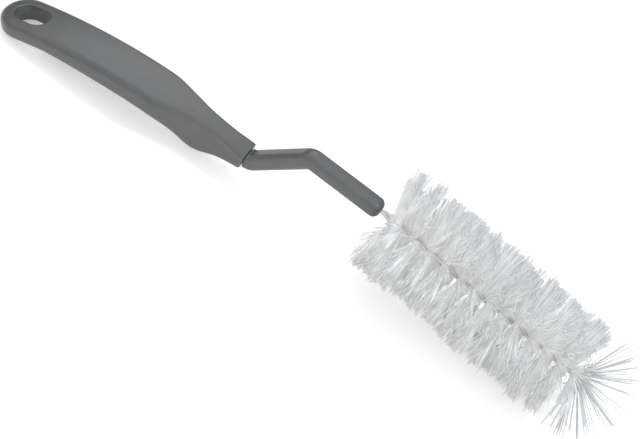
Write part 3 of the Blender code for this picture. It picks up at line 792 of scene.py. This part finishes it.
rng = np.random.default_rng(11)
ratio = np.array(stations)
side_vector, up_vector, forward = np.array(SIDEWAYS), np.array(UPWARDS), np.array(FORWARD)
head_start = np.array(axis_point(BARE_LENGTH))


def shared_wander(along):
    """How each filament strays, as the sum of its tuft's, its clump's and its own share.

    For both sides of the wire it gives five rows: lean, turn, spare length, and the tip's bend in two
    directions.
    """
    wander = np.zeros((2, 5, len(along)))
    for length, lean, turn, spare, bend in SPREADS:
        if length:
            first = (along[0] - BARE_LENGTH) // length
            member = ((along - BARE_LENGTH) // length - first).astype(int)
        else:
            member = np.arange(len(along))
        drawn = rng.normal(0, 1, (2, 5, member.max() + 1))
        wander += drawn[:, :, member] * np.array([lean, turn, spare, bend, bend])[:, None]
    return wander


print(f"{BAND_COUNT} bands of {FILAMENTS_PER_BAND} filaments over {HEAD_LENGTH / MM:.1f} mm of the wire")


# %% Fill the bands between the wire's legs
bands = []
for index in range(BAND_COUNT):
    count = FILAMENTS_PER_BAND
    spaced = (np.arange(count) + rng.uniform(0, 1, count)) / count
    along = BARE_LENGTH + BAND_LENGTH * (index + spaced)
    share = (along - BARE_LENGTH) / HEAD_LENGTH
    bunch = ((along - along[0]) // BUNCH_LENGTH).astype(int)
    offset = BUNCH_SHARE * rng.uniform(-SLAB_HALF, SLAB_HALF, bunch.max() + 1)[bunch]
    offset += (1 - BUNCH_SHARE) * rng.uniform(-SLAB_HALF, SLAB_HALF, count)
    turn = 2 * np.pi * (along - BARE_LENGTH) / TURN_LENGTH
    band_lean = FIRST_LEAN * (1 - share) ** LEAN_FADE + LAST_LEAN * share ** LEAN_FADE
    middle = head_start + (along - BARE_LENGTH)[:, None] * forward
    slab = (-np.sin(turn)[:, None] * side_vector + np.cos(turn)[:, None] * up_vector) * offset[:, None]
    wander = shared_wander(along)
    wander[:, 0] += (rng.uniform(0, 1, count) < STRAY_SHARE) * rng.normal(0, STRAY_LEAN, count)
    paths = np.empty((count, len(stations), 3))
    for i, t in enumerate(ratio):
        lean, own_turn, spare, bend, swing = wander[0 if t < 0 else 1]
        side = np.sign(t)
        lean = band_lean + lean - side * offset / SLAB_HALF * SPLAY_LEAN
        own_turn = turn + own_turn + offset / SLAB_HALF * SPLAY_TURN * side
        cosine, sine = np.cos(own_turn)[:, None], np.sin(own_turn)[:, None]
        out = side * (cosine * side_vector + sine * up_vector)
        sweep = side * (-sine * side_vector + cosine * up_vector)
        reach = (BRISTLE_RADIUS - TRIMMED_OFF + spare) * abs(t)
        step = (out * np.cos(lean)[:, None] + forward * np.sin(lean)[:, None]) * reach[:, None]
        paths[:, i] = (middle + slab + step + forward * (bend * t * t)[:, None]
                       + sweep * (swing * t * t)[:, None])
    paths = keep_above_floor(paths, FILAMENT_RADIUS)
    name = f"filament_band_{index + 1:02d}"
    clump = ((along - along[0]) // CLUMP_LENGTH).astype(int)
    shades = (LEAST_SHADE + CLUMP_SHADE * rng.uniform(0, 1, clump.max() + 1)[clump]
              + rng.uniform(0, OWN_SHADE, count))
    band = bent_filaments(name, paths, FILAMENT_RADIUS, shades, rng)
    lay_down(band, THREAD_EDGE)
    bands.append(band)
    compare_with_packed(band, f"bristle_band_{index + 1:02d}")

# %% [markdown]
# ## The tip tuft
#
# The last filaments are saddled over the wire's fold and spray forwards one by one, far enough apart for each
# to be seen.

# %% Fan the last filaments over the fold
TUFT_REACH = 34.0 * MM
TUFT_COUNT = 84
TUFT_FILAMENT_RADIUS = 0.36 * MM
TUFT_ROOT_RING = 0.8 * MM  # the radius at which the filaments leave the fold
TUFT_LENGTH_SPREAD = 0.6 * MM
TUFT_BEND = 1.2 * MM
WIDEST_ANGLE = math.radians(86)  # from the axis
LEAST_ANGLE = math.radians(8)
# low shades, painted greyer: painted shade for the light that a lone filament lets through
FAN_PAINTED_SHADE_RANGE = (0.0, 0.3)

hub = np.array(axis_point(FOLD_AT + HEAD_SPREAD + WIRE_RADIUS))
polar = np.arccos(rng.uniform(math.cos(WIDEST_ANGLE), math.cos(LEAST_ANGLE), TUFT_COUNT))
turn = rng.uniform(0, 2 * np.pi, TUFT_COUNT)
reach = TUFT_REACH + rng.normal(-TRIMMED_OFF, TUFT_LENGTH_SPREAD, TUFT_COUNT)
out = np.cos(turn)[:, None] * side_vector + np.sin(turn)[:, None] * up_vector
direction = np.cos(polar)[:, None] * forward + np.sin(polar)[:, None] * out
bend = rng.normal(0, TUFT_BEND, TUFT_COUNT)
paths = np.empty((TUFT_COUNT, len(stations), 3))
for i, t in enumerate((ratio + 1) / 2):
    paths[:, i] = (hub + out * TUFT_ROOT_RING + direction * (reach * t)[:, None]
                   + np.cross(direction, out) * (bend * t * t)[:, None])
paths = keep_above_floor(paths, TUFT_FILAMENT_RADIUS)
shades = rng.uniform(*FAN_PAINTED_SHADE_RANGE, TUFT_COUNT)
tuft = bent_filaments("fan_tuft", paths, TUFT_FILAMENT_RADIUS, shades, rng)
lay_down(tuft, THREAD_EDGE)
compare_with_packed(tuft, "tip_tuft")

# %% [markdown]
# ## Finishes
#
# The grip and the shank are one grey satin plastic: slow clouds and short streaks vary its colour a little,
# and a fine grain breaks up its shine. The wire has a grey-beige coat. The nylon is nearly white. Each
# filament has its own shade, and roots are a touch warmer. The tips and the single filaments of the fan are
# painted greyer, as painted shade for the light that passes through them on their own, where a dense tuft
# sends it back. Inside a tuft the light would pass from filament to filament many more times than a renderer
# follows it, so a faint glow of painted light stands for that part.

# %% Node groups that several finishes share
def new_group(name, inputs, outputs):
    """An empty node group with its sockets."""
    group = bpy.data.node_groups.new(name, "ShaderNodeTree")
    for label, value in inputs:
        socket = group.interface.new_socket(name=label, in_out="INPUT", socket_type="NodeSocketFloat")
        socket.default_value = value
    for label in outputs:
        group.interface.new_socket(name=label, in_out="OUTPUT", socket_type="NodeSocketFloat")
    return group, group.nodes.new("NodeGroupInput"), group.nodes.new("NodeGroupOutput")


def noise(tree, vector, scale, detail, roughness=0.5):
    """A noise texture whose scale is a socket or a plain number."""
    node = tree.nodes.new("ShaderNodeTexNoise")
    tree.links.new(vector, node.inputs["Vector"])
    if isinstance(scale, (int, float)):
        node.inputs["Scale"].default_value = scale
    else:
        tree.links.new(scale, node.inputs["Scale"])
    node.inputs["Detail"].default_value = detail
    node.inputs["Roughness"].default_value = roughness
    return node.outputs["Fac"]


STREAK_SCALE = 260.0
STREAK_STRETCH = (0.35, 1.0, 1.0)  # draws them out along the brush


def moulded_surface():
    """Slow clouds, short streaks and a fine grain, as a moulded or coated skin has them."""
    group, given, result = new_group("moulded surface", [("Cloud Scale", 45.0), ("Grain Scale", 1400.0)],
                                     ["Clouds", "Streaks", "Grain"])
    place = group.nodes.new("ShaderNodeTexCoord").outputs["Object"]
    stretch = group.nodes.new("ShaderNodeMapping")
    stretch.inputs["Scale"].default_value = STREAK_STRETCH
    group.links.new(place, stretch.inputs["Vector"])
    clouds = noise(group, place, given.outputs["Cloud Scale"], detail=3.0)
    streaks = noise(group, stretch.outputs["Vector"], STREAK_SCALE, detail=4.0, roughness=0.6)
    grain = noise(group, place, given.outputs["Grain Scale"], detail=2.0, roughness=0.7)
    for label, value in (("Clouds", clouds), ("Streaks", streaks), ("Grain", grain)):
        group.links.new(value, result.inputs[label])
    return group


surface_group = moulded_surface()
print(f"{surface_group.name}: a group of {len(surface_group.nodes)} nodes")


# %% Material helpers
def new_material(name, colour, roughness):
    """A material, its node tree and its Principled shader."""
    material = bpy.data.materials.new(name)
    material.use_nodes = True
    shader = material.node_tree.nodes["Principled BSDF"]
    shader.inputs["Base Color"].default_value = (*colour, 1.0)
    shader.inputs["Roughness"].default_value = roughness
    return material, material.node_tree, shader


COLOUR_A, COLOUR_B, MIXED_COLOUR = 6, 7, 2  # the colour sockets of a mix node, counted from 0


def blend_colours(tree, factor, low, high):
    """Mixes two colours, each of them plain or a socket, by a plain factor or a socket."""
    mix = tree.nodes.new("ShaderNodeMix")
    mix.data_type = "RGBA"
    if isinstance(factor, float):
        mix.inputs["Factor"].default_value = factor
    else:
        tree.links.new(factor, mix.inputs["Factor"])
    for socket, colour in ((mix.inputs[COLOUR_A], low), (mix.inputs[COLOUR_B], high)):
        if isinstance(colour, tuple):
            socket.default_value = (*colour, 1.0)
        else:
            tree.links.new(colour, socket)
    return mix.outputs[MIXED_COLOUR]


def spread_values(tree, value, from_low, from_high, to_low=0.0, to_high=1.0):
    """Spreads one range of a value over another, and holds it at the ends."""
    node = tree.nodes.new("ShaderNodeMapRange")
    tree.links.new(value, node.inputs["Value"])
    node.inputs["From Min"].default_value = from_low
    node.inputs["From Max"].default_value = from_high
    node.inputs["To Min"].default_value = to_low
    node.inputs["To Max"].default_value = to_high
    return node.outputs["Result"]


def add_skin(tree, cloud_scale, grain_scale):
    """The clouds, streaks and grain, at one material's own scales."""
    skin = tree.nodes.new("ShaderNodeGroup")
    skin.node_tree = surface_group
    skin.inputs["Cloud Scale"].default_value = cloud_scale
    skin.inputs["Grain Scale"].default_value = grain_scale
    return skin.outputs


def rough_normal(tree, shader, height, distance, strength):
    """Feeds a height into the shader's normal through a bump."""
    bump = tree.nodes.new("ShaderNodeBump")
    bump.inputs["Distance"].default_value = distance
    bump.inputs["Strength"].default_value = strength
    tree.links.new(height, bump.inputs["Height"])
    tree.links.new(bump.outputs["Normal"], shader.inputs["Normal"])


# %% Grey satin plastic of the handle and the shank
GREY = (0.098, 0.100, 0.102)
COOL_CLOUD = (0.080, 0.090, 0.112)
WARM_CLOUD = (0.118, 0.114, 0.088)
DARK_STREAK = (0.082, 0.084, 0.087)
LIGHT_STREAK = (0.114, 0.115, 0.117)
GRAIN_HEIGHT = 0.05 * MM

grey, tree, shader = new_material("grey_plastic", GREY, roughness=0.29)
shader.inputs["Metallic"].default_value = 0.1
skin = add_skin(tree, cloud_scale=32.0, grain_scale=1800.0)
clouded = blend_colours(tree, spread_values(tree, skin["Clouds"], 0.15, 0.85), COOL_CLOUD, WARM_CLOUD)
streaked = blend_colours(tree, spread_values(tree, skin["Streaks"], 0.25, 0.75), DARK_STREAK, LIGHT_STREAK)
tree.links.new(blend_colours(tree, 0.5, clouded, streaked), shader.inputs["Base Color"])
tree.links.new(spread_values(tree, skin["Clouds"], 0.2, 0.8, 0.26, 0.33), shader.inputs["Roughness"])
rough_normal(tree, shader, skin["Grain"], GRAIN_HEIGHT, strength=0.35)
print("grey_plastic: clouds, streaks and grain")

# %% Coated wire
COAT = (0.77, 0.77, 0.71)
DARK_COAT = (0.70, 0.70, 0.64)
LIGHT_COAT = (0.84, 0.84, 0.79)

coat, tree, shader = new_material("coated_wire", COAT, roughness=0.4)
skin = add_skin(tree, cloud_scale=300.0, grain_scale=1400.0)
clouded = blend_colours(tree, spread_values(tree, skin["Clouds"], 0.35, 0.65), DARK_COAT, LIGHT_COAT)
tree.links.new(clouded, shader.inputs["Base Color"])
rough_normal(tree, shader, skin["Grain"], GRAIN_HEIGHT, strength=0.3)
print("coated_wire: clouds and grain")

# %% White nylon
NYLON = (0.92, 0.93, 0.92)
# the dark end is painted shade, reached only by the fan's single filaments
DARKEST = (0.54, 0.55, 0.56)
LIGHTEST = (0.985, 0.99, 0.99)
DARKEST_ROOT = (0.60, 0.60, 0.58)
LIGHTEST_ROOT = (0.98, 0.98, 0.96)
# painted shade: the tips are painted grey for the light that a lone tip lets through
TIP_PAINTED_SHADE = (0.73, 0.735, 0.74)
CROWD_GLOW = (0.08, 0.08, 0.08)
TIP_GLOW = (0.01, 0.01, 0.01)
NO_GLOW = (0.0, 0.0, 0.0)
ROOT_ENDS_AT = 0.45  # of a filament's reach
TIP_STARTS_AT = 0.76


def read_attribute(tree, label):
    """The value that each point of a filament carries under a name."""
    node = tree.nodes.new("ShaderNodeAttribute")
    node.attribute_name = label
    return node.outputs["Fac"]


nylon, tree, shader = new_material("white_nylon", NYLON, roughness=0.35)
shade = read_attribute(tree, "shade")
reach = read_attribute(tree, "reach")
own = blend_colours(tree, shade, DARKEST, LIGHTEST)
near_root = blend_colours(tree, shade, DARKEST_ROOT, LIGHTEST_ROOT)
body = blend_colours(tree, spread_values(tree, reach, 0.0, ROOT_ENDS_AT), near_root, own)
# where the tips take their painted grey and a weaker glow
painted_tip_share = spread_values(tree, reach, TIP_STARTS_AT, 1.0)
tree.links.new(blend_colours(tree, painted_tip_share, body, TIP_PAINTED_SHADE), shader.inputs["Base Color"])
crowd = spread_values(tree, shade, 0.4, 0.7)  # 0 on the fan's single filaments, 1 in the bands
glow = blend_colours(tree, painted_tip_share, CROWD_GLOW, TIP_GLOW)
tree.links.new(blend_colours(tree, crowd, NO_GLOW, glow), shader.inputs["Emission Color"])
shader.inputs["Emission Strength"].default_value = 1.0
print("white_nylon: a shade for each filament, warm roots, grey tips and a faint glow")

# %% Give each piece its material, hang it on the body and hide the packed node it replaces
pieces = [(handle, grey, "handle", "grey_plastic"), (shank, grey, "shank", "grey_plastic"),
          (wire, coat, "wire_core", "coated_wire"), (tuft, nylon, "tip_tuft", "white_nylon")]
pieces += [(band, nylon, f"bristle_band_{i + 1:02d}", "white_nylon") for i, band in enumerate(bands)]
for item, material, node, slot in pieces:
    item.data.materials.clear()
    item.data.materials.append(material)
    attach(item, "root")
    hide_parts(node)
print(f"{len(pieces)} pieces ride on the one body and stand for its nodes")

# %% [markdown]
# ## The floor, the walls and the lights
#
# The photograph has a plain white ground. The floor is a pale paper that glows a little, but only for the
# camera and for reflections, so it stays white there and still takes the brush's shadow. Dark walls, which
# the camera doesn't see, give the plastic its darker edges. They are higher behind the brush than in front of
# it, so that the near side of the head still gets light from low down. A small cool window light hangs high
# on the tip's side, a large softbox behind the brush draws the broad shine on the grip, and a warmer one in
# front lights the near bristles.

# %% A pale floor that stays white to the camera
FLOOR_SIDE = 4.0
FLOOR_GLOW = 0.35
PAPER = (0.8, 0.8, 0.8)

bpy.ops.object.select_all(action="DESELECT")
bpy.ops.mesh.primitive_plane_add(size=FLOOR_SIDE)
floor = bpy.context.object
floor.name = "studio_floor"
paper, tree, shader = new_material("studio_floor", PAPER, roughness=1.0)
shader.inputs["Specular IOR Level"].default_value = 0.0
shader.inputs["Emission Color"].default_value = (FLOOR_GLOW, FLOOR_GLOW, FLOOR_GLOW, 1.0)
ray = tree.nodes.new("ShaderNodeLightPath")
total = ray.outputs["Is Camera Ray"]
for kind in ("Is Glossy Ray", "Is Transmission Ray"):
    add = tree.nodes.new("ShaderNodeMath")
    tree.links.new(total, add.inputs[0])
    tree.links.new(ray.outputs[kind], add.inputs[1])
    total = add.outputs["Value"]
tree.links.new(total, shader.inputs["Emission Strength"])
floor.data.materials.append(paper)
print(f"a floor of {FLOOR_SIDE} by {FLOOR_SIDE} m")

# %% Dark walls round the set, which the camera doesn't see
WALL_RADIUS = 1.6
WALL_HEIGHT_BEHIND = 1.0
WALL_HEIGHT_IN_FRONT = 0.35
WALL_LIFT = 0.12  # off the floor, so that no dark line shows where they would meet
WALL_SIDES = 64
DARK_CLOTH = (0.06, 0.06, 0.06)

bpy.ops.object.select_all(action="DESELECT")
bpy.ops.mesh.primitive_cylinder_add(vertices=WALL_SIDES, radius=WALL_RADIUS, end_fill_type="NOTHING")
walls = bpy.context.object
for vertex in walls.data.vertices:
    share = (vertex.co.y / WALL_RADIUS + 1) / 2
    height = WALL_HEIGHT_IN_FRONT + share * (WALL_HEIGHT_BEHIND - WALL_HEIGHT_IN_FRONT)
    vertex.co.z = height if vertex.co.z > 0 else WALL_LIFT
walls.name = "studio_walls"
walls.visible_camera = False
cloth, tree, shader = new_material("studio_walls", DARK_CLOTH, roughness=1.0)
shader.inputs["Specular IOR Level"].default_value = 0.0
walls.data.materials.append(cloth)
print(f"walls {WALL_HEIGHT_IN_FRONT} m high in front and {WALL_HEIGHT_BEHIND} m behind")


# %% Three soft lights and a white sky
LIGHTS = (  # name, place, target, width, power and colour
    ("window", (0.44, 0.16, 0.98), (0.05, 0, 0.04), 0.22, 3.6, (0.80, 0.90, 1.0)),
    ("softbox behind", (-0.60, 0.85, 0.85), (-0.05, 0, 0.02), 0.9, 2.0, (1.0, 0.99, 0.97)),
    ("softbox in front", (0.70, -0.95, 0.75), (0.1, 0, 0.04), 0.6, 5.0, (1.0, 0.985, 0.95)),
)


def add_area_light(name, place, target, size, power, colour):
    """A round soft light at a place, turned to a target."""
    data = bpy.data.lights.new(name, "AREA")
    data.shape = "DISK"
    data.size = size
    data.energy = power
    data.color = colour
    light = bpy.data.objects.new(name, data)
    light.location = place
    light.rotation_euler = (Vector(target) - Vector(place)).to_track_quat("-Z", "Y").to_euler()
    bpy.context.scene.collection.objects.link(light)
    print(f"{name}: {power} W over a disc of {size} m")


for settings in LIGHTS:
    add_area_light(*settings)
world = bpy.data.worlds.new("studio")
world.use_nodes = True
bpy.context.scene.world = world
background = world.node_tree.nodes["Background"]
background.inputs["Color"].default_value = (1.0, 1.0, 1.0, 1.0)
background.inputs["Strength"].default_value = 1.0
bpy.context.scene.view_settings.view_transform = "Standard"
